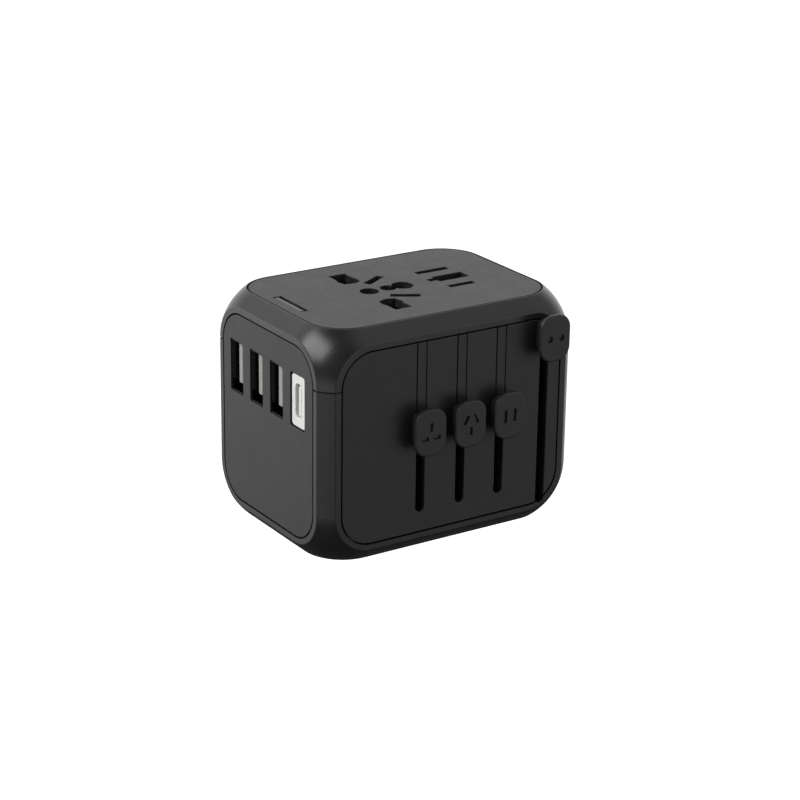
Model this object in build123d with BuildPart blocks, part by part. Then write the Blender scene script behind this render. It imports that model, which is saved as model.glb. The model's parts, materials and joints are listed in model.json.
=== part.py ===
"""Universal travel adapter: a bevelled cube with a socket face on top, four plug sliders and a USB charger.

Frame: millimetres, +Z up, origin at the centre of the base. The slider face looks along -Y and the
USB face along -X. Every slider is drawn retracted, which is the rest position.
"""
import os

from build123d import *

os.makedirs("parts", exist_ok=True)

# ---- casing --------------------------------------------------------------------------------------
length = 69.0  # X
width = 50.0  # Y
height = 55.5  # Z
bevel_radius = 16.0  # of the rounded block whose surface bevels every edge and corner
bevel_reach = 3.25  # how far that block stands out past each flat face
crease_round = 0.6  # softens the crease between a flat face and the bevel
parting_z = 42.7  # seam between the upper and the lower casing
wall = 1.8  # casing wall behind an inset panel
panel_thick = 1.6
panel_edge = 4.5  # from the ideal corner to the edge of a side panel's recess
panel_gap = 0.4  # visible line around a side panel
panel_corner = 8.2
plate_edge = 3.3  # the same for the socket plate and the base plate
plate_gap = 0.4
plate_corner = 9.3
plate_thick = 2.0
deck_thick = 1.6  # casing top under the socket plate, and casing floor over the base plate
seam = 0.4  # width and depth of the groove along the parting line
rim_round = 0.12  # rounding of the panels' visible edges

inner_x = length / 2 - panel_thick - wall
inner_y = width / 2 - panel_thick - wall
inner_top = height - plate_thick - deck_thick
floor_top = panel_thick + deck_thick
inner_corner = 4.0

# ---- sliders -------------------------------------------------------------------------------------
slider_x = {"uk": -8.8, "aus": 2.1, "us": 12.95, "eu": 25.2}
short_travel = 18.5  # UK, AUS and US sliders
eu_travel = 38.5
slot_width = 2.4
short_slot_bottom = 9.65
eu_slot_bottom = 4.6
short_knob_z = 30.3
eu_knob_z = 46.8
neck_width = 2.0
neck_half = 2.0  # half-height of a neck, measured from its knob's centre
eu_neck_drop = 3.6  # the EU neck reaches further down
slot_clear = 0.25
rib_width = 2.2  # fixed rib that fills a slot above its knob
rib_slot_width = 2.75

knob_width = 8.4
knob_height = 11.2
knob_corner = 3.4
knob_stand = 4.2  # from the panel to the knob's face
knob_cap = 0.9  # thickness of its cap
knob_step = 1.6  # the stem under the cap is this much smaller all round
knob_float = 0.25  # running gap over the panel
knob_round = 0.4
mark_depth = 0.5

foot_thick = 1.4
foot_width = 5.0
foot_half = 3.0
foot_clear = 0.2  # foot to the inside of the wall
rib_half = 2.2  # half-width of the arm from a foot to its carriage
foot_back = inner_y - foot_clear - foot_thick  # |y| of the plane where a foot meets its carriage

carriage_z = floor_top + 0.2 + short_travel  # underside of the three short carriages at rest
carriage_top = short_knob_z + foot_half
arm_top = 29.0
slide_gap = 0.3  # between sliders that pass each other

# ---- plug pins -----------------------------------------------------------------------------------
uk_pin = (4.0, 6.35)  # X by Y
uk_pin_y = 11.1
uk_pin_length = 17.7
uk_earth = (8.0, 4.0)
uk_earth_offset = 22.2
uk_sleeve_length = 9.0
aus_blade = (6.3, 1.6)
aus_blade_y = 6.86
aus_blade_angle = 30.0
aus_blade_length = 17.1
us_blade = (6.3, 1.5)
us_blade_y = 6.35
us_blade_length = 17.5
eu_pin_radius = 2.0
eu_sleeve_radius = 1.9
eu_pin_y = 9.5
eu_pin_length = 19.0
eu_sleeve_length = 10.0
pin_embed = 6.0  # depth of each pin in its carriage
sleeve_wall = 0.5
opening_clear = 0.25  # around a pin in the base

eu_block_x = (21.6, 29.0)
eu_block_half_y = 14.0
eu_block_corner = 3.2
eu_block_z = eu_travel - eu_pin_length + 0.1  # its underside at rest
eu_block_top = eu_knob_z + 3.7

# ---- socket face ---------------------------------------------------------------------------------
plug_x = -7.05  # line and neutral apertures
plug_slot = (4.4, 7.2)
plug_slot_y = 11.0
plug_round = 2.6
plug_round_y = 9.5
aus_slot = (6.9, 1.9)
aus_slot_x = -1.6
us_slot_y = 6.25
us_line_slot = (7.0, 1.7)
us_neutral_slot = (8.8, 1.8)
us_slot_x = 14.4
earth_x = 15.5
earth_slot = (8.4, 3.8)
aus_earth_slot = (6.6, 1.7)
aus_earth_x = 12.6
centre_pin = (-7.1, 2.25)  # x and radius of the small round aperture
double_pin = ((2.0, 2.6), (-2.0, 1.9))  # the two circles of the double round aperture
lens_slot = (2.15, 12.4)
lens_slot_at = (-27.6, 0.95)
lens_width = 1.2
lens_end_gap = 0.35

# ---- contact carrier and shutter -----------------------------------------------------------------
carrier_x = (-14.5, 20.6)
carrier_half_y = 15.9
carrier_z = (35.0, 50.2)
cover_thick = 1.0
shutter_thick = 1.3
shutter_lift = 0.2
shutter_wing = (-9.9, -4.0)
shutter_bar = (5.4, 8.6)
shutter_tongue_end = 13.4
strip_thick = 0.5

# ---- USB charger ---------------------------------------------------------------------------------
usb_z = 37.7
usb_y = (13.9, 4.8, -4.3)
usb_window = (5.7, 12.7)
usb_shell = (5.4, 12.5)
usb_sheet = 0.25
usb_recess = 0.3  # shell mouth behind the panel's face
usb_tongue = (1.9, 9.7)
usb_tongue_shift = 0.5
usb_tongue_lift = 0.6
usb_tongue_recess = 1.35
usb_c_y = -13.55
usb_c_window = (6.2, 12.8)
usb_c_bezel = (5.7, 12.3)
usb_c_mouth = (2.6, 8.4)  # opening in the bezel
usb_c_shell = (3.3, 9.0)
usb_c_bezel_recess = 0.3
usb_c_bezel_thick = 2.4
usb_c_tongue_size = (1.0, 6.9)
usb_c_tongue_recess = 0.75
board_x = (-20.0, -18.4)

# ---- fasteners -----------------------------------------------------------------------------------
boss_points = [(-15.8, 18.4), (-15.8, -18.4), (20.0, 18.4), (20.0, -18.4)]
boss_radius = 2.2
screw_radius = 1.0
screw_head_radius = 1.7
screw_head_thick = 1.3
screw_seat_z = 36.0
screw_length = 12.0


def save(part, name):
    """Label one finished piece and write its STEP file."""
    part.label = name
    export_step(part, f"parts/{name}.step")


def box_between(low, high, mode=Mode.ADD):
    """Add or cut the block between two opposite corners."""
    size = [b - a for a, b in zip(low, high)]
    middle = [(a + b) / 2 for a, b in zip(low, high)]
    with Locations(tuple(middle)):
        Box(*size, mode=mode)


def rounded_plate(plane, size, corner, thick):
    """One flat plate with rounded corners; its visible face lies on the plane and faces along its normal."""
    with BuildPart() as plate:
        with BuildSketch(plane):
            RectangleRounded(size[0], size[1], corner)
        extrude(amount=-thick)
    return plate.part


def round_rim(face, radius=rim_round):
    """Round every edge of one visible face of the piece being built."""
    fillet(face.edges(), radius)


# Outward-facing planes at the middle of the casing's six faces.
mid_z = height / 2
front_plane = Plane(origin=(0, -width / 2, mid_z), x_dir=(1, 0, 0), z_dir=(0, -1, 0))
back_plane = Plane(origin=(0, width / 2, mid_z), x_dir=(-1, 0, 0), z_dir=(0, 1, 0))
usb_plane = Plane(origin=(-length / 2, 0, mid_z), x_dir=(0, -1, 0), z_dir=(-1, 0, 0))
end_plane = Plane(origin=(length / 2, 0, mid_z), x_dir=(0, 1, 0), z_dir=(1, 0, 0))
top_plane = Plane.XY.offset(height)
base_plane = Plane(origin=(0, 0, 0), x_dir=(1, 0, 0), z_dir=(0, 0, -1))

panel_planes = {
    "slider_panel": (front_plane, length),
    "back_panel": (back_plane, length),
    "usb_panel": (usb_plane, width),
    "end_panel": (end_plane, width),
}


def panel_size(span, gap):
    """Size of a side panel, or of its recess when gap is 0."""
    return (span - 2 * (panel_edge + gap), height - 2 * (panel_edge + gap))


def plate_size(gap):
    """Size of the socket plate and the base plate, or of their recesses when gap is 0."""
    return (length - 2 * (plate_edge + gap), width - 2 * (plate_edge + gap))


# ==================================================================================================
# Casing
# ==================================================================================================
with BuildPart() as envelope:
    with BuildSketch(Plane.XY.offset(-bevel_reach)):
        Rectangle(length + 2 * bevel_reach, width + 2 * bevel_reach)
    extrude(amount=height + 2 * bevel_reach)
    fillet(envelope.edges(), bevel_radius)
    with BuildSketch():
        Rectangle(length, width)
    extrude(amount=height, mode=Mode.INTERSECT)
    flats = envelope.faces().filter_by(GeomType.PLANE)
    fillet([edge for face in flats for edge in face.edges()], crease_round)


def socket_apertures(grow):
    """Draw every mains aperture of the socket face in the sketch being built, each enlarged by grow."""
    for side in (1, -1):
        with Locations((plug_x, side * plug_slot_y)):
            Rectangle(plug_slot[0] + 2 * grow, plug_slot[1] + 2 * grow)
        with Locations((plug_x, side * plug_round_y)):
            Circle(plug_round + grow)
        with Locations(Location((aus_slot_x, side * aus_blade_y, 0), (0, 0, side * aus_blade_angle))):
            Rectangle(aus_slot[0] + 2 * grow, aus_slot[1] + 2 * grow)
    with Locations((us_slot_x, us_slot_y)):
        Rectangle(us_neutral_slot[0] + 2 * grow, us_neutral_slot[1] + 2 * grow)
    with Locations((us_slot_x, -us_slot_y)):
        Rectangle(us_line_slot[0] + 2 * grow, us_line_slot[1] + 2 * grow)
    with Locations((earth_x, 0)):
        Rectangle(earth_slot[0] + 2 * grow, earth_slot[1] + 2 * grow)
    with Locations((aus_earth_x, 0)):
        Rectangle(aus_earth_slot[0] + 2 * grow, aus_earth_slot[1] + 2 * grow)
    with Locations((centre_pin[0], 0)):
        Circle(centre_pin[1] + grow)
    for x, radius in double_pin:
        with Locations((x, 0)):
            Circle(radius + grow)


def uk_pin_points():
    return [(slider_x["uk"], uk_pin_y), (slider_x["uk"], -uk_pin_y)]


def aus_blade_places():
    return [
        Location((slider_x["aus"], side * aus_blade_y, 0), (0, 0, side * aus_blade_angle)) for side in (1, -1)
    ]


def us_blade_points():
    return [(slider_x["us"], us_blade_y), (slider_x["us"], -us_blade_y)]


uk_earth_point = (slider_x["uk"] + uk_earth_offset, 0)
eu_middle_x = sum(eu_block_x) / 2
eu_thick = eu_block_x[1] - eu_block_x[0]
eu_pin_points = [(eu_middle_x, eu_pin_y), (eu_middle_x, -eu_pin_y)]


def plug_openings(clear):
    """Draw the base openings that the pins and the EU block come out of, each with its clearance."""
    with Locations(*uk_pin_points()):
        Rectangle(uk_pin[0] + 2 * clear, uk_pin[1] + 2 * clear)
    with Locations(uk_earth_point):
        Rectangle(uk_earth[0] + 2 * clear, uk_earth[1] + 2 * clear)
    with Locations(*aus_blade_places()):
        Rectangle(aus_blade[0] + 2 * clear, aus_blade[1] + 2 * clear)
    with Locations(*us_blade_points()):
        Rectangle(us_blade[0] + 2 * clear, us_blade[1] + 2 * clear)
    with Locations((eu_middle_x, 0)):
        RectangleRounded(eu_thick + 2 * clear, 2 * (eu_block_half_y + clear), eu_block_corner + clear)


def slider_slots():
    """Draw the open part of the four slider slots on the front plane, in its own coordinates."""
    for name in ("uk", "aus", "us"):
        top = short_knob_z + neck_half + slot_clear
        tall = top - short_slot_bottom
        with Locations((slider_x[name], short_slot_bottom + tall / 2 - mid_z)):
            SlotOverall(tall, slot_width, rotation=90)
    tall = eu_knob_z + neck_half + slot_clear - eu_slot_bottom
    with Locations((slider_x["eu"], eu_slot_bottom + tall / 2 - mid_z)):
        SlotOverall(tall, slot_width, rotation=90)


def usb_windows(grow):
    """Draw the four port windows on the USB face, whose sketch plane has its x axis along -Y."""
    with Locations(*[(-y, usb_z - mid_z) for y in usb_y]):
        RectangleRounded(usb_window[0] + 2 * grow, usb_window[1] + 2 * grow, 0.3 + grow)
    with Locations((-usb_c_y, usb_z - mid_z)):
        RectangleRounded(usb_c_window[0] + 2 * grow, usb_c_window[1] + 2 * grow, 0.6 + grow)


def casing_outline(inset):
    """Horizontal outline of the casing between its bevels, moved inwards by inset."""
    reach = bevel_reach - inset
    rounded = RectangleRounded(
        length + 2 * reach, width + 2 * reach, bevel_radius - inset, mode=Mode.PRIVATE
    )
    flats = Rectangle(length - 2 * inset, width - 2 * inset, mode=Mode.PRIVATE)
    return rounded & flats


with BuildPart() as casing:
    add(envelope.part)
    # recesses for the six inset plates
    for plane, span in panel_planes.values():
        with BuildSketch(plane):
            RectangleRounded(*panel_size(span, 0), panel_corner)
        extrude(amount=-panel_thick, mode=Mode.SUBTRACT)
    with BuildSketch(top_plane):
        RectangleRounded(*plate_size(0), plate_corner)
    extrude(amount=-plate_thick, mode=Mode.SUBTRACT)
    with BuildSketch(base_plane):
        RectangleRounded(*plate_size(0), plate_corner)
    extrude(amount=-panel_thick, mode=Mode.SUBTRACT)
    # the hollow
    with BuildSketch(Plane.XY.offset(floor_top)):
        RectangleRounded(2 * inner_x, 2 * inner_y, inner_corner)
    extrude(amount=inner_top - floor_top, mode=Mode.SUBTRACT)
    # slider slots, right through the front wall and into the ring below the EU slot
    with BuildSketch(front_plane):
        slider_slots()
    extrude(amount=-(panel_thick + wall), mode=Mode.SUBTRACT)
    # port windows, apertures, lens slot and base openings
    with BuildSketch(usb_plane):
        usb_windows(0.35)
    extrude(amount=-(panel_thick + wall), mode=Mode.SUBTRACT)
    with BuildSketch(top_plane):
        socket_apertures(0.3)
        with Locations(lens_slot_at):
            Rectangle(*lens_slot)
    extrude(amount=-(plate_thick + deck_thick), mode=Mode.SUBTRACT)
    with BuildSketch():
        plug_openings(opening_clear)
    extrude(amount=floor_top, mode=Mode.SUBTRACT)
    # groove along the parting line
    with BuildSketch(Plane.XY.offset(parting_z - seam / 2)):
        Rectangle(2 * length, 2 * width)
        add(casing_outline(seam), mode=Mode.SUBTRACT)
    extrude(amount=seam, mode=Mode.SUBTRACT)

with BuildPart() as upper_casing:
    add(casing.part)
    split(bisect_by=Plane.XY.offset(parting_z), keep=Keep.TOP)
    with BuildSketch(Plane.XY.offset(parting_z)):
        with Locations(*boss_points):
            Circle(boss_radius)
    extrude(amount=inner_top - parting_z)
    with BuildSketch(Plane.XY.offset(parting_z)):
        with Locations(*boss_points):
            Circle(screw_radius)
    extrude(amount=screw_seat_z + screw_length - parting_z, mode=Mode.SUBTRACT)
save(upper_casing.part, "upper_casing")

with BuildPart() as lower_casing:
    add(casing.part)
    split(bisect_by=Plane.XY.offset(parting_z), keep=Keep.BOTTOM)
    with BuildSketch(Plane.XY.offset(floor_top)):
        with Locations(*boss_points):
            Circle(boss_radius)
    extrude(amount=parting_z - floor_top)
    with BuildSketch(Plane.XY.offset(screw_seat_z)):
        with Locations(*boss_points):
            Circle(screw_radius)
    extrude(amount=parting_z - screw_seat_z, mode=Mode.SUBTRACT)
    with BuildSketch(Plane.XY.offset(panel_thick)):
        with Locations(*boss_points):
            Circle(screw_head_radius + 0.1)
    extrude(amount=screw_seat_z - panel_thick, mode=Mode.SUBTRACT)
save(lower_casing.part, "lower_casing")

# ==================================================================================================
# Inset plates
# ==================================================================================================
with BuildPart() as socket_plate:
    add(rounded_plate(top_plane, plate_size(plate_gap), plate_corner - plate_gap, plate_thick))
    with BuildSketch(top_plane):
        socket_apertures(0)
        with Locations(lens_slot_at):
            Rectangle(*lens_slot)
    extrude(amount=-plate_thick, mode=Mode.SUBTRACT)
    round_rim(socket_plate.faces().sort_by(Axis.Z)[-1], 0.12)
save(socket_plate.part, "socket_plate")

with BuildPart() as base_plate:
    add(rounded_plate(base_plane, plate_size(plate_gap), plate_corner - plate_gap, panel_thick))
    with BuildSketch():
        plug_openings(opening_clear)
    extrude(amount=panel_thick, mode=Mode.SUBTRACT)
    round_rim(base_plate.faces().sort_by(Axis.Z)[0])
save(base_plate.part, "base_plate")

with BuildPart() as slider_panel:
    add(rounded_plate(front_plane, panel_size(length, panel_gap), panel_corner - panel_gap, panel_thick))
    with BuildSketch(front_plane):
        slider_slots()
        rib_top = height - panel_edge
        for name in ("uk", "aus", "us"):
            with Locations((slider_x[name], (short_knob_z + rib_top) / 2 - mid_z)):
                Rectangle(rib_slot_width, rib_top - short_knob_z)
    extrude(amount=-panel_thick, mode=Mode.SUBTRACT)
    round_rim(slider_panel.faces().sort_by(Axis.Y)[0])
save(slider_panel.part, "slider_panel")

with BuildPart() as slot_ribs:
    rib_bottom = short_knob_z + neck_half + slot_clear + 0.3
    rib_top = height - panel_edge - panel_gap
    with BuildSketch(front_plane):
        rib_middle = (rib_bottom + rib_top) / 2 - mid_z
        with Locations(*[(slider_x[name], rib_middle) for name in ("uk", "aus", "us")]):
            Rectangle(rib_width, rib_top - rib_bottom)
    extrude(amount=-panel_thick)
save(slot_ribs.part, "slot_ribs")

with BuildPart() as usb_panel:
    add(rounded_plate(usb_plane, panel_size(width, panel_gap), panel_corner - panel_gap, panel_thick))
    with BuildSketch(usb_plane):
        usb_windows(0)
    extrude(amount=-panel_thick, mode=Mode.SUBTRACT)
    round_rim(usb_panel.faces().sort_by(Axis.X)[0])
save(usb_panel.part, "usb_panel")

for panel_name in ("back_panel", "end_panel"):
    panel_plane, panel_span = panel_planes[panel_name]
    blank_size = panel_size(panel_span, panel_gap)
    with BuildPart() as blank_panel:
        add(rounded_plate(panel_plane, blank_size, panel_corner - panel_gap, panel_thick))
        outer_faces = blank_panel.faces().filter_by(lambda f: f.center().dot(panel_plane.z_dir) > 0)
        by_height = outer_faces.sort_by(lambda f: (f.center() - panel_plane.origin).dot(panel_plane.z_dir))
        round_rim(by_height[-1])
    save(blank_panel.part, panel_name)

# ==================================================================================================
# Sliders: knobs
# ==================================================================================================
def pin_marks(name):
    """Draw the pin pattern that a knob brings out, as a small sign in the sketch being built."""
    if name == "uk":
        with Locations((0, 1.4)):
            Rectangle(0.9, 2.0)
        with Locations((1.6, -1.3), (-1.6, -1.3)):
            Rectangle(1.9, 0.9)
    if name == "aus":
        with Locations(Location((1.3, 1.2, 0), (0, 0, 30)), Location((-1.3, 1.2, 0), (0, 0, -30))):
            Rectangle(0.8, 2.3)
        with Locations((0, -1.6)):
            Rectangle(0.8, 1.9)
    if name == "us":
        with Locations((1.3, 0), (-1.3, 0)):
            Rectangle(0.85, 3.0)
    if name == "eu":
        with Locations((1.6, 0), (-1.6, 0)):
            Circle(0.8)


def make_knob(name, z, neck_drop):
    """One slider knob: cap, stem, neck through the slot, and the foot that holds it behind the wall."""
    x = slider_x[name]
    face_y = width / 2 + knob_stand
    stem_y = face_y - knob_cap
    neck_y = width / 2 + knob_float
    foot_y = inner_y - foot_clear
    with BuildPart() as knob:
        with BuildSketch(Plane.XZ.offset(face_y)):
            with Locations((x, z)):
                RectangleRounded(knob_width, knob_height, knob_corner)
        extrude(amount=-knob_cap)
        fillet(knob.faces().sort_by(Axis.Y)[0].edges(), knob_round)
        with BuildSketch(Plane.XZ.offset(stem_y)):
            with Locations((x, z)):
                RectangleRounded(
                    knob_width - 2 * knob_step, knob_height - 2 * knob_step, knob_corner - knob_step
                )
        extrude(amount=-(stem_y - neck_y))
        with BuildSketch(Plane.XZ.offset(neck_y)):
            with Locations((x, z + (neck_half - neck_drop) / 2)):
                SlotOverall(neck_half + neck_drop, neck_width, rotation=90)
        extrude(amount=-(neck_y - foot_y))
        with BuildSketch(Plane.XZ.offset(foot_y)):
            with Locations((x, z)):
                Rectangle(foot_width, 2 * foot_half)
        extrude(amount=-foot_thick)
        with BuildSketch(Plane.XZ.offset(face_y)):
            with Locations((x, z)):
                pin_marks(name)
        extrude(amount=-mark_depth, mode=Mode.SUBTRACT)
    return knob.part


for knob_name in ("uk", "aus", "us"):
    save(make_knob(knob_name, short_knob_z, neck_half), f"{knob_name}_knob")
save(make_knob("eu", eu_knob_z, eu_neck_drop), "eu_knob")


# ==================================================================================================
# Sliders: carriages and pins
# ==================================================================================================
def front_arm(name, reach_y, low_z, top_z):
    """Add the arm that joins a carriage to its knob's foot, from |y| = reach_y to the foot."""
    x = slider_x[name]
    box_between((x - rib_half, -foot_back, low_z), (x + rib_half, -reach_y, top_z))


short_floor = Plane.XY.offset(carriage_z)
uk_bar_half_x = 3.5
uk_bar_half_y = 14.8
uk_arm_end = uk_earth_point[0] + uk_earth[0] / 2 + 0.1

with BuildPart() as uk_carriage:
    box_between(
        (slider_x["uk"] - uk_bar_half_x, -uk_bar_half_y, carriage_z),
        (slider_x["uk"] + uk_bar_half_x, uk_bar_half_y, arm_top),
    )
    box_between((slider_x["uk"], -uk_earth[1] / 2, carriage_z), (uk_arm_end, uk_earth[1] / 2, arm_top))
    front_arm("uk", uk_bar_half_y - 1, carriage_z, carriage_top)
    with BuildSketch(short_floor):
        with Locations(*uk_pin_points()):
            Rectangle(*uk_pin)
    extrude(amount=pin_embed, mode=Mode.SUBTRACT)
save(uk_carriage.part, "uk_carriage")

aus_arm_y = (uk_earth[1] / 2 + 0.4, 4.6)
aus_block_x = (-2.6, 6.8)
aus_block_y = 10.2
aus_end_x = (uk_arm_end + slide_gap, uk_arm_end + slide_gap + 1.6)

with BuildPart() as aus_carriage:
    for side in (1, -1):
        for low, high in (
            ((aus_block_x[0], aus_arm_y[0]), (aus_block_x[1], aus_block_y)),
            ((aus_block_x[1] - 1, aus_arm_y[0]), (aus_end_x[1], aus_arm_y[1])),
        ):
            y_pair = sorted((side * low[1], side * high[1]))
            box_between((low[0], y_pair[0], carriage_z), (high[0], y_pair[1], arm_top))
    box_between((aus_end_x[0], -aus_arm_y[1], carriage_z), (aus_end_x[1], aus_arm_y[1], arm_top))
    front_arm("aus", aus_block_y - 1, carriage_z, carriage_top)
    with BuildSketch(short_floor):
        with Locations(*aus_blade_places()):
            Rectangle(*aus_blade)
    extrude(amount=pin_embed, mode=Mode.SUBTRACT)
save(aus_carriage.part, "aus_carriage")

us_arm_y = (aus_arm_y[1] + slide_gap, 9.5)
us_block_x = 8.2
us_end_x = (aus_end_x[1] + slide_gap, eu_block_x[0] - slide_gap)

with BuildPart() as us_carriage:
    for side in (1, -1):
        y_pair = sorted((side * us_arm_y[0], side * us_arm_y[1]))
        box_between((us_block_x, y_pair[0], carriage_z), (us_end_x[1], y_pair[1], arm_top))
    box_between((us_end_x[0], -us_arm_y[1], carriage_z), (us_end_x[1], us_arm_y[1], arm_top))
    front_arm("us", us_arm_y[1] - 1, carriage_z, carriage_top)
    with BuildSketch(short_floor):
        with Locations(*us_blade_points()):
            Rectangle(*us_blade)
    extrude(amount=pin_embed, mode=Mode.SUBTRACT)
save(us_carriage.part, "us_carriage")

with BuildPart() as eu_block:
    with BuildSketch(Plane.XY.offset(eu_block_z)):
        with Locations((eu_middle_x, 0)):
            RectangleRounded(eu_thick, 2 * eu_block_half_y, eu_block_corner)
    extrude(amount=eu_block_top - eu_block_z)
    fillet(eu_block.faces().sort_by(Axis.Z)[0].edges(), 0.8)
    front_arm("eu", eu_block_half_y - 1, eu_knob_z - foot_half, eu_block_top)
    with BuildSketch(Plane.XY.offset(eu_block_z)):
        with Locations(*eu_pin_points):
            Circle(eu_pin_radius)
    extrude(amount=pin_embed, mode=Mode.SUBTRACT)
save(eu_block.part, "eu_block")


def blade(tip_z, root_z, place, size, corner):
    """One flat blade from its bevelled tip up to its root."""
    with BuildPart() as piece:
        with BuildSketch(Plane.XY.offset(tip_z)):
            with Locations(place):
                Rectangle(*size)
        extrude(amount=root_z - tip_z)
        chamfer(piece.faces().sort_by(Axis.Z)[0].edges(), corner)
    return piece.part


def out_tip(travel, reach):
    """Height at rest of a tip that stands out by reach when its slider is right down."""
    return travel - reach


uk_tip = out_tip(short_travel, uk_pin_length)
uk_sleeve_z = (uk_tip + uk_pin_length - uk_sleeve_length, carriage_z)
side_names = (("line", 0), ("neutral", 1))

for side_name, index in side_names:
    point = uk_pin_points()[index]
    with BuildPart() as uk_pin_piece:
        add(blade(uk_tip, carriage_z + pin_embed, point, uk_pin, 0.8))
        with BuildSketch(Plane.XY.offset(uk_sleeve_z[0])):
            with Locations(point):
                Rectangle(uk_pin[0] + 1, uk_pin[1] + 1)
                Rectangle(uk_pin[0] - 2 * sleeve_wall, uk_pin[1] - 2 * sleeve_wall, mode=Mode.SUBTRACT)
        extrude(amount=uk_sleeve_z[1] - uk_sleeve_z[0], mode=Mode.SUBTRACT)
    save(uk_pin_piece.part, f"uk_{side_name}_pin")
    aus_tip = out_tip(short_travel, aus_blade_length)
    aus_place = aus_blade_places()[index]
    save(blade(aus_tip, carriage_z + pin_embed, aus_place, aus_blade, 0.45), f"aus_{side_name}_blade")
    us_tip = out_tip(short_travel, us_blade_length)
    us_place = us_blade_points()[index]
    save(blade(us_tip, carriage_z + pin_embed, us_place, us_blade, 0.45), f"us_{side_name}_blade")

with BuildPart() as uk_pin_sleeves:
    with BuildSketch(Plane.XY.offset(uk_sleeve_z[0])):
        with Locations(*uk_pin_points()):
            Rectangle(*uk_pin)
            Rectangle(uk_pin[0] - 2 * sleeve_wall, uk_pin[1] - 2 * sleeve_wall, mode=Mode.SUBTRACT)
    extrude(amount=uk_sleeve_z[1] - uk_sleeve_z[0])
save(uk_pin_sleeves.part, "uk_pin_sleeves")

save(blade(0.4, carriage_z, uk_earth_point, uk_earth, 0.9), "uk_earth_pin")

eu_tip = out_tip(eu_travel, eu_travel - 0.6)
eu_sleeve_z = (eu_block_z - eu_sleeve_length, eu_block_z)
for side_name, index in side_names:
    with BuildPart() as eu_pin_piece:
        with BuildSketch(Plane.XY.offset(eu_tip)):
            with Locations(eu_pin_points[index]):
                Circle(eu_pin_radius)
        extrude(amount=eu_block_z + pin_embed - eu_tip)
        fillet(eu_pin_piece.faces().sort_by(Axis.Z)[0].edges(), eu_pin_radius * 0.8)
        with BuildSketch(Plane.XY.offset(eu_sleeve_z[0])):
            with Locations(eu_pin_points[index]):
                Circle(eu_pin_radius + 1)
                Circle(eu_sleeve_radius - sleeve_wall, mode=Mode.SUBTRACT)
        extrude(amount=eu_sleeve_z[1] - eu_sleeve_z[0], mode=Mode.SUBTRACT)
    save(eu_pin_piece.part, f"eu_{side_name}_pin")

with BuildPart() as eu_pin_sleeves:
    with BuildSketch(Plane.XY.offset(eu_sleeve_z[0])):
        with Locations(*eu_pin_points):
            Circle(eu_sleeve_radius)
            Circle(eu_sleeve_radius - sleeve_wall, mode=Mode.SUBTRACT)
    extrude(amount=eu_sleeve_z[1] - eu_sleeve_z[0])
save(eu_pin_sleeves.part, "eu_pin_sleeves")

# ==================================================================================================
# Socket interior: carrier, contacts, shutter
# ==================================================================================================
channel_y = (12.3, 13.5)
well = (5.9, 8.1)  # plug well, X by Y
well_y = 10.75
us_well = (9.8, 3.4)
tab_half = 2.0
post_x = (-13.6, -12.0)  # the pair the shutter springs push against
far_post_x = (16.0, 17.6)
post_y = (carrier_half_y, carrier_half_y + 1.9)

with BuildPart() as contact_carrier:
    box_between(
        (carrier_x[0], -carrier_half_y, carrier_z[0]),
        (carrier_x[1], carrier_half_y, carrier_z[1]),
    )
    with BuildSketch(Plane.XY.offset(carrier_z[0])):
        socket_apertures(0.5)
        for side in (1, -1):
            with Locations((plug_x, side * well_y)):
                Rectangle(*well)
            with Locations((us_slot_x, side * us_slot_y)):
                Rectangle(*us_well)
    extrude(amount=carrier_z[1] - carrier_z[0], mode=Mode.SUBTRACT)
    for side in (1, -1):
        y_pair = sorted((side * channel_y[0], side * channel_y[1]))
        box_between(
            (plug_x - well[0] / 2, y_pair[0], carrier_z[0]), (19.3, y_pair[1], 40.5), mode=Mode.SUBTRACT
        )
        y_pair = sorted((side * us_slot_y, side * channel_y[1]))
        box_between((11.8, y_pair[0], carrier_z[0]), (17.0, y_pair[1], 37.0), mode=Mode.SUBTRACT)
        y_pair = sorted((side * channel_y[0], side * carrier_half_y))
        box_between(
            (-tab_half - 0.3, y_pair[0], carrier_z[0]), (tab_half + 0.3, y_pair[1], 37.0), mode=Mode.SUBTRACT
        )
        y_pair = sorted((side * post_y[0], side * post_y[1]))
        for low_x, high_x in (post_x, far_post_x):
            box_between((low_x, y_pair[0], 44.0), (high_x, y_pair[1], inner_top))
save(contact_carrier.part, "contact_carrier")

with BuildPart() as contact_cover:
    box_between(
        (carrier_x[0], -carrier_half_y, carrier_z[0] - cover_thick),
        (carrier_x[1], carrier_half_y, carrier_z[0]),
    )
save(contact_cover.part, "contact_cover")

busbar_y = (18.2, 18.8)
strip_z = 36.0
leaf_x = 2.75  # outside of a plug contact's two leaves, from the middle of its well
leaf_thick = 0.4

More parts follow.
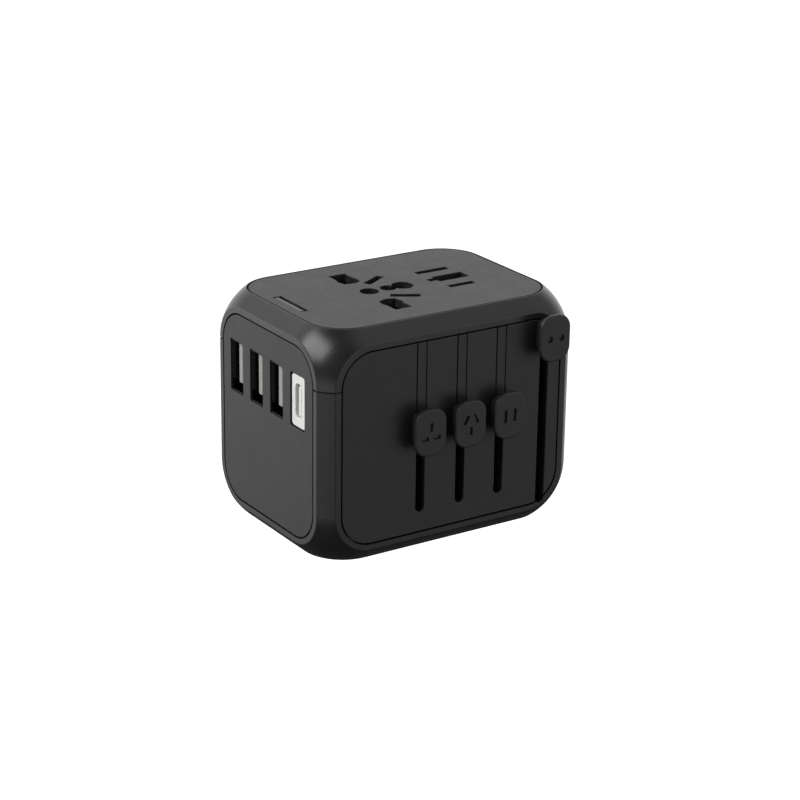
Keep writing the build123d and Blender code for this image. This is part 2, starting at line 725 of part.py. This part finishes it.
for side_name, side in (("line", 1), ("neutral", -1)):

    def sided(low_y, high_y):
        """A pair of y values on this side of the socket, lowest first."""
        return sorted((side * low_y, side * high_y))

    with BuildPart() as contact:
        y_pair = sided(12.6, 13.1)
        box_between((plug_x - leaf_x, y_pair[0], strip_z), (18.6, y_pair[1], 40.0))
        y_pair = sided(12.6, busbar_y[1])
        box_between((-tab_half, y_pair[0], strip_z), (tab_half, y_pair[1], strip_z + strip_thick))
        y_pair = sided(7.6, 13.1)
        box_between(
            (plug_x - leaf_x, y_pair[0], strip_z), (plug_x + leaf_x, y_pair[1], strip_z + strip_thick)
        )
        for low_x in (plug_x - leaf_x, plug_x + leaf_x - leaf_thick):
            box_between((low_x, y_pair[0], strip_z), (low_x + leaf_thick, y_pair[1], 48.0))
        y_pair = sided(us_slot_y - 1.4, 13.1)
        box_between((12.2, y_pair[0], strip_z), (16.6, y_pair[1], strip_z + strip_thick))
        for leaf_y in (us_slot_y - 1.4, us_slot_y + 1.0):
            y_pair = sided(leaf_y, leaf_y + 0.4)
            box_between((12.2, y_pair[0], strip_z), (16.6, y_pair[1], 47.0))
    save(contact.part, f"{side_name}_contact")

    with BuildPart() as busbar:
        y_pair = sided(*busbar_y)
        box_between((-5.9, y_pair[0], 33.8), (10.0, y_pair[1], strip_z))
        for finger_x in ((-5.9, -0.8), (5.0, 10.0)):
            box_between((finger_x[0], y_pair[0], 6.0), (finger_x[1], y_pair[1], 33.8))
    save(busbar.part, f"{side_name}_busbar")

shutter_z = carrier_z[1] + shutter_lift
lug_x = (2.0, 3.6)
with BuildPart() as safety_shutter:
    with BuildSketch(Plane.XY.offset(shutter_z)):
        for side in (1, -1):
            with Locations(((shutter_wing[0] + shutter_wing[1]) / 2, side * 10.65)):
                Rectangle(shutter_wing[1] - shutter_wing[0], 10.1)
            with Locations(((shutter_wing[1] + shutter_bar[0]) / 2, side * 12.65)):
                Rectangle(shutter_bar[0] - shutter_wing[1] + 1, 6.1)
            with Locations((sum(lug_x) / 2, side * 16.5)):
                Rectangle(lug_x[1] - lug_x[0], 2.4)
        with Locations((sum(shutter_bar) / 2, 0)):
            Rectangle(shutter_bar[1] - shutter_bar[0], 31.4)
        with Locations(((shutter_bar[0] + shutter_tongue_end) / 2, 0)):
            Rectangle(shutter_tongue_end - shutter_bar[0], 7.0)
    extrude(amount=shutter_thick)
    ramp_edge = safety_shutter.edges().group_by(Axis.Z)[-1].sort_by(Axis.X)[-1]
    chamfer(ramp_edge, 1.0)
save(safety_shutter.part, "safety_shutter")

spring_radius = 0.6
spring_wire = 0.14
spring_y = 16.9
spring_ends = (post_x[1] + spring_wire, lug_x[0] - spring_wire)
spring_turns = 9
spring_z = shutter_z + shutter_thick / 2

with BuildPart() as shutter_springs:
    for side in (1, -1):
        with BuildLine() as coil:
            Helix(
                pitch=(spring_ends[1] - spring_ends[0]) / spring_turns,
                height=spring_ends[1] - spring_ends[0],
                radius=spring_radius,
                center=(spring_ends[0], side * spring_y, spring_z),
                direction=(1, 0, 0),
            )
        wire_plane = Plane(origin=coil.line @ 0, z_dir=coil.line % 0)
        with BuildSketch(wire_plane):
            Circle(spring_wire)
        sweep(path=coil.line)
save(shutter_springs.part, "shutter_springs")

# ==================================================================================================
# Indicator
# ==================================================================================================
lens_x = (lens_slot_at[0] - lens_slot[0] / 2 + 0.1, lens_slot_at[0] - lens_slot[0] / 2 + 0.1 + lens_width)
lens_half_y = lens_slot[1] / 2 - lens_end_gap
led_board_z = (48.2, 49.2)

with BuildPart() as indicator_lens:
    box_between(
        (lens_x[0], lens_slot_at[1] - lens_half_y, inner_top - 0.6),
        (lens_x[1], lens_slot_at[1] + lens_half_y, height - 0.05),
    )
    fillet(indicator_lens.faces().sort_by(Axis.Z)[-1].edges(), 0.2)
save(indicator_lens.part, "indicator_lens")

with BuildPart() as led_board:
    box_between((-30.5, -6.0, led_board_z[0]), (board_x[0], 8.0, led_board_z[1]))
save(led_board.part, "led_board")

with BuildPart() as indicator_led:
    box_between(
        (lens_x[0] - 0.9, lens_slot_at[1] - 1.4, led_board_z[1]),
        (lens_x[1] + 0.9, lens_slot_at[1] + 1.4, led_board_z[1] + 1.6),
    )
save(indicator_led.part, "indicator_led")

# ==================================================================================================
# USB charger
# ==================================================================================================
panel_face_x = -length / 2
shell_x = (panel_face_x + usb_recess, board_x[0])
tongue_x = (panel_face_x + usb_tongue_recess, board_x[0])


def shell_plane(x):
    """Sketch plane across the ports at x, with its own x axis along Y and its normal along +X."""
    return Plane(origin=(x, 0, usb_z), x_dir=(0, 1, 0), z_dir=(1, 0, 0))


for port_index, port_y in enumerate(usb_y, start=1):
    with BuildPart() as usb_port_shell:
        with BuildSketch(shell_plane(shell_x[0])):
            with Locations((port_y, 0)):
                RectangleRounded(*usb_shell, 0.35)
                Rectangle(usb_shell[0] - 2 * usb_sheet, usb_shell[1] - 2 * usb_sheet, mode=Mode.SUBTRACT)
        extrude(amount=shell_x[1] - shell_x[0])
    save(usb_port_shell.part, f"usb_a_shell_{port_index}")
    with BuildPart() as usb_port_tongue:
        with BuildSketch(shell_plane(tongue_x[0])):
            with Locations((port_y + usb_tongue_shift, usb_tongue_lift)):
                Rectangle(*usb_tongue)
        extrude(amount=tongue_x[1] - tongue_x[0])
        chamfer(usb_port_tongue.faces().sort_by(Axis.X)[0].edges().filter_by(Axis.Z), 0.3)
    save(usb_port_tongue.part, f"usb_a_tongue_{port_index}")

contact_pitch = 2.3
with BuildPart() as usb_a_contacts:
    with BuildSketch(shell_plane(tongue_x[0] + 0.9)):
        for port_y in usb_y:
            tongue_side = port_y + usb_tongue_shift - usb_tongue[0] / 2
            heights = [usb_tongue_lift + step * contact_pitch for step in (-1.5, -0.5, 0.5, 1.5)]
            with Locations(*[(tongue_side - 0.1, z) for z in heights]):
                Rectangle(0.2, 1.1)
    extrude(amount=9.0)
save(usb_a_contacts.part, "usb_a_contacts")

with BuildPart() as usb_c_bezel_piece:
    with BuildSketch(shell_plane(panel_face_x + usb_c_bezel_recess)):
        with Locations((usb_c_y, 0)):
            RectangleRounded(*usb_c_bezel, 0.9)
            SlotOverall(usb_c_mouth[1], usb_c_mouth[0], rotation=90, mode=Mode.SUBTRACT)
    extrude(amount=usb_c_bezel_thick)
    fillet(usb_c_bezel_piece.faces().sort_by(Axis.X)[0].edges(), 0.2)
save(usb_c_bezel_piece.part, "usb_c_bezel")

usb_c_shell_x = panel_face_x + usb_c_bezel_recess + usb_c_bezel_thick
with BuildPart() as usb_c_shell_piece:
    with BuildSketch(shell_plane(usb_c_shell_x)):
        with Locations((usb_c_y, 0)):
            SlotOverall(usb_c_shell[1], usb_c_shell[0], rotation=90)
            SlotOverall(
                usb_c_shell[1] - 2 * usb_sheet,
                usb_c_shell[0] - 2 * usb_sheet,
                rotation=90,
                mode=Mode.SUBTRACT,
            )
    extrude(amount=board_x[0] - usb_c_shell_x)
save(usb_c_shell_piece.part, "usb_c_shell")

with BuildPart() as usb_c_tongue:
    with BuildSketch(shell_plane(panel_face_x + usb_c_tongue_recess)):
        with Locations((usb_c_y, 0)):
            RectangleRounded(*usb_c_tongue_size, 0.3)
    extrude(amount=board_x[0] - panel_face_x - usb_c_tongue_recess)
save(usb_c_tongue.part, "usb_c_tongue")

with BuildPart() as usb_board:
    box_between((board_x[0], -18.4, 4.0), (board_x[1], 18.4, led_board_z[1]))
save(usb_board.part, "usb_board")

with BuildPart() as transformer_core:
    box_between((-30.6, -7.0, 8.0), (board_x[0], 7.0, 11.0))
    box_between((-30.6, -7.0, 21.0), (board_x[0], 7.0, 24.0))
    box_between((-30.6, -1.8, 11.0), (board_x[0], 1.8, 21.0))
save(transformer_core.part, "transformer_core")

with BuildPart() as transformer_winding:
    with BuildSketch(Plane.XY.offset(11.0)):
        with Locations((sum((-30.6, board_x[0])) / 2, 0)):
            RectangleRounded(10.6, 14.0, 1.5)
            Rectangle(10.6, 3.6, mode=Mode.SUBTRACT)
    extrude(amount=10.0)
save(transformer_winding.part, "transformer_winding")

with BuildPart() as capacitors:
    with BuildSketch(Plane.YZ.offset(-30.2)):
        with Locations((12.6, 10.5), (12.6, 21.0), (-12.6, 21.0)):
            Circle(4.0)
    extrude(amount=board_x[0] + 30.2)
    fillet(capacitors.faces().filter_by(Axis.X).group_by(Axis.X)[0].edges(), 0.6)
save(capacitors.part, "capacitors")

with BuildPart() as control_chip:
    box_between((board_x[0] - 1.6, -15.6, 7.0), (board_x[0], -9.6, 14.0))
save(control_chip.part, "control_chip")

with BuildPart() as insulation_barrier:
    box_between((-14.6, -15.6, floor_top), (-13.2, 15.6, 34.0))
save(insulation_barrier.part, "insulation_barrier")

# ==================================================================================================
# Fuse
# ==================================================================================================
fuse_point = (25.3, 17.9)
fuse_radius = 2.5
fuse_z = (12.0, 32.0)
fuse_cap_length = 4.5

with BuildPart() as fuse_tube:
    with BuildSketch(Plane.XY.offset(fuse_z[0] + fuse_cap_length)):
        with Locations(fuse_point):
            Circle(fuse_radius - 0.15)
    extrude(amount=fuse_z[1] - fuse_z[0] - 2 * fuse_cap_length)
save(fuse_tube.part, "fuse_tube")

with BuildPart() as fuse_caps:
    for cap_z in (fuse_z[0], fuse_z[1] - fuse_cap_length):
        with BuildSketch(Plane.XY.offset(cap_z)):
            with Locations(fuse_point):
                Circle(fuse_radius)
        extrude(amount=fuse_cap_length)
save(fuse_caps.part, "fuse_caps")

with BuildPart() as fuse_clips:
    for clip_z in (fuse_z[0] + 0.8, fuse_z[1] - fuse_cap_length + 0.8):
        with BuildSketch(Plane.XY.offset(clip_z)):
            with Locations(fuse_point):
                Circle(fuse_radius + 0.4)
                Circle(fuse_radius, mode=Mode.SUBTRACT)
                with Locations((-fuse_radius, 0)):
                    Rectangle(2.4, 3.0, mode=Mode.SUBTRACT)
        extrude(amount=3.0)
        box_between(
            (fuse_point[0] - 1.2, fuse_point[1] + fuse_radius + 0.2, clip_z),
            (fuse_point[0] + 1.2, inner_y, clip_z + 3.0),
        )
save(fuse_clips.part, "fuse_clips")

# ==================================================================================================
# Screws
# ==================================================================================================
with BuildPart() as casing_screws:
    for boss in boss_points:
        with BuildSketch(Plane.XY.offset(screw_seat_z - screw_head_thick)):
            with Locations(boss):
                Circle(screw_head_radius)
        extrude(amount=screw_head_thick)
        with BuildSketch(Plane.XY.offset(screw_seat_z)):
            with Locations(boss):
                Circle(screw_radius)
        extrude(amount=screw_length)
        with BuildSketch(Plane.XY.offset(screw_seat_z - screw_head_thick)):
            with Locations(boss):
                Rectangle(2.0, 0.5)
                Rectangle(0.5, 2.0)
        extrude(amount=0.6, mode=Mode.SUBTRACT)
save(casing_screws.part, "casing_screws")
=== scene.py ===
"""Looks for the universal travel adapter: materials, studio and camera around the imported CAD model."""
import json
import math

import bpy
from mathutils import Matrix, Vector


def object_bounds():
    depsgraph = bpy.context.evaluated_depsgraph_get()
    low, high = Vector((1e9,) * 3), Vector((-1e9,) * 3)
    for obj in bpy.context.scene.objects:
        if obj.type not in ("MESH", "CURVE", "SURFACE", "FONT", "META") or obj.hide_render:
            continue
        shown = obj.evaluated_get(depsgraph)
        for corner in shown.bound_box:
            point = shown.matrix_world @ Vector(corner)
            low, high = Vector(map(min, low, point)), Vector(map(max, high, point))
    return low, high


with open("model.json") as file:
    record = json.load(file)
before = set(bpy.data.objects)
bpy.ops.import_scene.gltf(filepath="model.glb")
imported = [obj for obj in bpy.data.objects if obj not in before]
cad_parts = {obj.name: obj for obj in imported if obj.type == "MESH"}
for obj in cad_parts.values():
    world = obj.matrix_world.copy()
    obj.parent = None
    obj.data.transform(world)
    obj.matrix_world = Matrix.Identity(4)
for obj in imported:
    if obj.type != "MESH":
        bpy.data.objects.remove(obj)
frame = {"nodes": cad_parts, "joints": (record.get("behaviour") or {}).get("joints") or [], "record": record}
cad_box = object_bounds()
nodes = frame["nodes"]
scene = bpy.context.scene
centre = (cad_box[0] + cad_box[1]) / 2
longest_travel = max(joint["range_m"][1] for joint in frame["joints"])

# ---- driving values: metres, degrees, noise scales per metre, and radiance for light --------------
plastic_ior = 1.5
mottle_scale = 140.0  # flow marks in moulded plastic, about 7 mm across
polish_scale = 260.0  # patches polished by handling
polish_swing = 0.02  # their roughness, either side of the plastic's own
fleck_to_grain = 0.6  # scale of the pigment flecks, against that of the mould grain
grain_depth = 0.00004
drawing_scale = 4200.0  # drawing lines on metal, before they are stretched
drawing_depth = 0.00001
tarnish_scale = 320.0

along_z = (1.0, 1.0, 0.06)
along_x = (0.06, 1.0, 1.0)

charcoal = (0.021, 0.021, 0.022)
deep_fleck = 0.85

floor_reach = 4.0
floor_drop = 4.0 * longest_travel  # below the object, so that plug pins that are out show in full
floor_grey = 0.8
floor_glow = 0.75

# Broad soft patches of light around the object: azimuth, elevation, full within, gone beyond, radiance.
patches = {
    "back_wall": (170.0, 5.0, 32.0, 80.0, 0.92),
    "back_left": (-128.0, -14.0, 12.0, 46.0, 0.80),
    "front_fill": (30.0, -12.0, 22.0, 54.0, 0.74),
    "front_left_fill": (-62.0, -24.0, 13.0, 32.0, 1.05),
    "front_top": (52.0, 50.0, 14.0, 40.0, 0.55),
    "end_side": (100.0, 0.0, 20.0, 52.0, 0.34),
}
ambient = 0.05
lowest_lit = -0.56  # height of a direction below which the surroundings are dark
fully_lit = -0.20

softbox_azimuth = -98.0
softbox_elevation = 43.0
softbox_distance = 0.9
softbox_size = (0.78, 0.46)
softbox_radiance = 5.4

camera_azimuth = -33.267
camera_elevation = 20.203
camera_roll = 0.808
camera_distance = 0.5546
camera_offset = (0.00035, 0.00026)  # how far the camera sits to the right of the centre's line, and above it
camera_lens = 105.81
camera_sensor = 36.0


# ---- shader helpers ------------------------------------------------------------------------------
def new_material(name):
    """A node material with one principled shader."""
    material = bpy.data.materials.new(name)
    material.use_nodes = True
    tree = material.node_tree
    tree.nodes.clear()
    output = tree.nodes.new("ShaderNodeOutputMaterial")
    shader = tree.nodes.new("ShaderNodeBsdfPrincipled")
    tree.links.new(shader.outputs["BSDF"], output.inputs["Surface"])
    return material, tree, shader


def object_coords(tree):
    return tree.nodes.new("ShaderNodeTexCoord").outputs["Object"]


def noise(tree, coords, scale, detail, roughness):
    node = tree.nodes.new("ShaderNodeTexNoise")
    node.inputs["Scale"].default_value = scale
    node.inputs["Detail"].default_value = detail
    node.inputs["Roughness"].default_value = roughness
    tree.links.new(coords, node.inputs["Vector"])
    return node.outputs["Fac"]


def ramp(tree, factor, *stops):
    """A colour ramp; each stop is a position and either a grey value or a colour."""
    node = tree.nodes.new("ShaderNodeValToRGB")
    elements = node.color_ramp.elements
    while len(elements) > 1:
        elements.remove(elements[-1])
    for index, (position, value) in enumerate(stops):
        element = elements[0] if index == 0 else elements.new(position)
        element.position = position
        colour = (value, value, value) if isinstance(value, float) else value
        element.color = (*colour, 1.0)
    tree.links.new(factor, node.inputs["Fac"])
    return node.outputs["Color"]


def multiplied(tree, a, b):
    """Two colours multiplied; a and b are sockets."""
    node = tree.nodes.new("ShaderNodeMix")
    node.data_type = "RGBA"
    node.blend_type = "MULTIPLY"
    node.inputs["Factor"].default_value = 1.0
    tree.links.new(a, node.inputs["A"])
    tree.links.new(b, node.inputs["B"])
    return node.outputs["Result"]


def bump(tree, height, strength, distance):
    node = tree.nodes.new("ShaderNodeBump")
    node.inputs["Strength"].default_value = strength
    node.inputs["Distance"].default_value = distance
    tree.links.new(height, node.inputs["Height"])
    return node.outputs["Normal"]


def scaled(colour, factor):
    return tuple(channel * factor for channel in colour)


# ---- materials -----------------------------------------------------------------------------------
def moulded_plastic(name, colour, rough, grain_scale=5200.0, grain=0.3, spread=0.07, fleck=0.14):
    """Moulded plastic: fine spark-eroded grain, flecks of darker pigment, soft mottling and polish."""
    material, tree, shader = new_material(name)
    coords = object_coords(tree)
    mottle = noise(tree, coords, mottle_scale, 3.0, 0.6)
    pigment = noise(tree, coords, grain_scale * fleck_to_grain, 1.0, 0.5)
    polish = noise(tree, coords, polish_scale, 2.0, 0.55)
    fine = noise(tree, coords, grain_scale, 2.0, 0.6)
    tint = ramp(tree, mottle, (0.3, scaled(colour, 1.0 - spread)), (0.7, scaled(colour, 1.0 + spread)))
    flecks = ramp(tree, pigment, (0.3, 1.0 - fleck), (0.7, 1.0))
    worn = ramp(tree, polish, (0.3, rough - polish_swing), (0.7, rough + polish_swing))
    tree.links.new(multiplied(tree, tint, flecks), shader.inputs["Base Color"])
    tree.links.new(worn, shader.inputs["Roughness"])
    tree.links.new(bump(tree, fine, grain, grain_depth), shader.inputs["Normal"])
    shader.inputs["IOR"].default_value = plastic_ior
    return material


def plated_metal(name, colour, rough, stretch=along_z, scratch=0.25):
    """Plated or drawn metal: drawing lines along one axis and slight tarnish."""
    material, tree, shader = new_material(name)
    coords = object_coords(tree)
    mapping = tree.nodes.new("ShaderNodeMapping")
    mapping.inputs["Scale"].default_value = stretch
    tree.links.new(coords, mapping.inputs["Vector"])
    lines = noise(tree, mapping.outputs["Vector"], drawing_scale, 3.0, 0.6)
    tarnish = noise(tree, coords, tarnish_scale, 3.0, 0.6)
    tint = ramp(tree, tarnish, (0.3, scaled(colour, 0.86)), (0.75, colour))
    brushed = ramp(tree, lines, (0.25, rough * 0.75), (0.75, rough * 1.3))
    tree.links.new(tint, shader.inputs["Base Color"])
    tree.links.new(brushed, shader.inputs["Roughness"])
    tree.links.new(bump(tree, lines, scratch, drawing_depth), shader.inputs["Normal"])
    shader.inputs["Metallic"].default_value = 1.0
    return material


def textured_plate():
    """The socket plate: a coarser grain with deep flecks, in a colour that averages to charcoal."""
    colour = scaled(charcoal, 1.7)
    return moulded_plastic("socket_plate_plastic", colour, 0.46, 4000.0, 0.8, fleck=deep_fleck)


looks = {
    "charcoal_plastic": moulded_plastic("casing_plastic", charcoal, 0.27),
    "plate_plastic": textured_plate(),
    "panel_plastic": moulded_plastic("panel_plastic", charcoal, 0.42, 3600.0, 0.5),
    "knob_plastic": moulded_plastic("knob_plastic", charcoal, 0.42, 5200.0, 0.25),
    "carrier_plastic": moulded_plastic("inner_plastic", (0.021, 0.021, 0.0215), 0.5),
    "lens_plastic": moulded_plastic("lens_plastic", (0.03, 0.03, 0.0295), 0.28, 3000.0, 0.05, 0.05),
    "insert_plastic": moulded_plastic("insert_plastic", (0.94, 0.935, 0.92), 0.38, 4200.0, 0.2, 0.03),
    "barrier_plastic": moulded_plastic("barrier_plastic", (0.42, 0.41, 0.37), 0.5),
    "pin_metal": plated_metal("pin_metal", (0.72, 0.70, 0.66), 0.22),
    "contact_metal": plated_metal("contact_metal", (0.72, 0.52, 0.26), 0.3),
    "steel": plated_metal("tinned_steel", (0.56, 0.56, 0.57), 0.28, along_x),
    # Near-black metal for the USB-A socket shells: partly dark plating, partly painted shade standing in for
    # the shadow inside the sockets.
    "port_metal": plated_metal("port_metal", (0.035, 0.035, 0.036), 0.3, along_x),
    "circuit_board": moulded_plastic("board_laminate", (0.02, 0.12, 0.05), 0.35, 1500.0, 0.15),
    "ferrite": moulded_plastic("ferrite", (0.05, 0.05, 0.055), 0.55, 2500.0, 0.5),
    "winding_tape": moulded_plastic("winding_tape", (0.62, 0.42, 0.04), 0.3, 900.0, 0.1),
    "capacitor_sleeve": moulded_plastic("capacitor_sleeve", (0.02, 0.03, 0.08), 0.25, 900.0, 0.1),
    "fuse_glass": moulded_plastic("fuse_glass", (0.7, 0.75, 0.72), 0.1, 900.0, 0.02),
}
tongue_look = moulded_plastic("tongue_plastic", (0.45, 0.445, 0.425), 0.4, 4200.0, 0.2, 0.03)

slot_of = {entry["node"]: entry["material_slot"] for entry in frame["record"]["subparts"]}
for name, obj in nodes.items():
    obj.data.materials.clear()
    obj.data.materials.append(tongue_look if name.startswith("usb_a_tongue") else looks[slot_of[name]])

# ---- floor ---------------------------------------------------------------------------------------
floor_corners = [(x * floor_reach, y * floor_reach, 0.0) for x, y in ((-1, -1), (1, -1), (1, 1), (-1, 1))]
floor_mesh = bpy.data.meshes.new("floor")
floor_mesh.from_pydata(floor_corners, [], [(0, 1, 2, 3)])
floor_material, _, floor_shader = new_material("floor_paper")
floor_shader.inputs["Base Color"].default_value = (floor_grey, floor_grey, floor_grey, 1.0)
floor_shader.inputs["Roughness"].default_value = 0.9
floor_shader.inputs["Specular IOR Level"].default_value = 0.1
floor_shader.inputs["Emission Color"].default_value = (1.0, 1.0, 1.0, 1.0)
floor_shader.inputs["Emission Strength"].default_value = floor_glow
floor_mesh.materials.append(floor_material)
floor = bpy.data.objects.new("floor", floor_mesh)
floor.location.z = cad_box[0].z - floor_drop
floor.visible_diffuse = False
floor.visible_glossy = False
floor.visible_shadow = False
scene.collection.objects.link(floor)


# ---- studio --------------------------------------------------------------------------------------
def direction_to(azimuth, elevation):
    """Unit vector towards an azimuth, from -Y towards +X, and an elevation."""
    a, e = math.radians(azimuth), math.radians(elevation)
    return Vector((math.sin(a) * math.cos(e), -math.cos(a) * math.cos(e), math.sin(e)))


world = bpy.data.worlds.new("studio")
scene.world = world
world.use_nodes = True
sky = world.node_tree
sky.nodes.clear()
sky_direction = sky.nodes.new("ShaderNodeTexCoord").outputs["Generated"]


def sky_fade(value, start, end, top):
    """Zero below start, top above end, and a smooth step between them."""
    fade = sky.nodes.new("ShaderNodeMapRange")
    fade.interpolation_type = "SMOOTHSTEP"
    fade.inputs["From Min"].default_value = start
    fade.inputs["From Max"].default_value = end
    fade.inputs["To Min"].default_value = 0.0
    fade.inputs["To Max"].default_value = top
    sky.links.new(value, fade.inputs["Value"])
    return fade.outputs["Result"]


def sky_patch(azimuth, elevation, inner, outer, radiance):
    """Radiance of one soft round patch of the surroundings, as a function of direction."""
    dot = sky.nodes.new("ShaderNodeVectorMath")
    dot.operation = "DOT_PRODUCT"
    dot.inputs[1].default_value = direction_to(azimuth, elevation)
    sky.links.new(sky_direction, dot.inputs[0])
    gone, full = math.cos(math.radians(outer)), math.cos(math.radians(inner))
    return sky_fade(dot.outputs["Value"], gone, full, radiance)


def sky_math(kind, a, b):
    node = sky.nodes.new("ShaderNodeMath")
    node.operation = kind
    sky.links.new(a, node.inputs[0])
    if isinstance(b, float):
        node.inputs[1].default_value = b
    else:
        sky.links.new(b, node.inputs[1])
    return node.outputs["Value"]


def sky_background():
    background = sky.nodes.new("ShaderNodeBackground")
    background.inputs["Color"].default_value = (1.0, 1.0, 1.0, 1.0)
    return background


def sky_radiance():
    """All patches together, dark below the object, over a little ambient light."""
    patch_light, *others = [sky_patch(*shape) for shape in patches.values()]
    for other in others:
        patch_light = sky_math("ADD", patch_light, other)
    split = sky.nodes.new("ShaderNodeSeparateXYZ")
    sky.links.new(sky_direction, split.inputs["Vector"])
    above_ground = sky_fade(split.outputs["Z"], lowest_lit, fully_lit, 1.0)
    return sky_math("ADD", sky_math("MULTIPLY", patch_light, above_ground), ambient)


# The camera sees plain white behind the object; everything else sees the patches.
sky_light = sky_background()
sky_white = sky_background()
sky.links.new(sky_radiance(), sky_light.inputs["Strength"])
sky_mix = sky.nodes.new("ShaderNodeMixShader")
sky.links.new(sky.nodes.new("ShaderNodeLightPath").outputs["Is Camera Ray"], sky_mix.inputs["Fac"])
sky.links.new(sky_light.outputs["Background"], sky_mix.inputs[1])
sky.links.new(sky_white.outputs["Background"], sky_mix.inputs[2])
sky.links.new(sky_mix.outputs["Shader"], sky.nodes.new("ShaderNodeOutputWorld").inputs["Surface"])

softbox_direction = direction_to(softbox_azimuth, softbox_elevation)
softbox_light = bpy.data.lights.new("box_left", "AREA")
softbox_light.shape = "RECTANGLE"
softbox_light.size, softbox_light.size_y = softbox_size
softbox_light.energy = softbox_radiance * softbox_size[0] * softbox_size[1] * math.pi
softbox = bpy.data.objects.new("box_left", softbox_light)
softbox.location = centre + softbox_direction * softbox_distance
softbox.rotation_euler = softbox_direction.to_track_quat("Z", "Y").to_euler()
softbox.visible_camera = False
scene.collection.objects.link(softbox)

# ---- camera --------------------------------------------------------------------------------------
camera_data = bpy.data.cameras.new("camera")
camera_data.sensor_width = camera_sensor
camera_data.lens = camera_lens
camera_data.clip_start = 0.01
camera_data.clip_end = 20.0
camera = bpy.data.objects.new("camera", camera_data)
camera_back = direction_to(camera_azimuth, camera_elevation)
camera_turn = camera_back.to_track_quat("Z", "Y").to_matrix().to_4x4()
camera_turn = camera_turn @ Matrix.Rotation(math.radians(camera_roll), 4, "Z")
camera_reach = camera_turn @ Vector((*camera_offset, camera_distance))
camera.matrix_world = Matrix.Translation(centre + camera_reach) @ camera_turn
scene.collection.objects.link(camera)
scene.camera = camera
scene.view_settings.view_transform = "Standard"
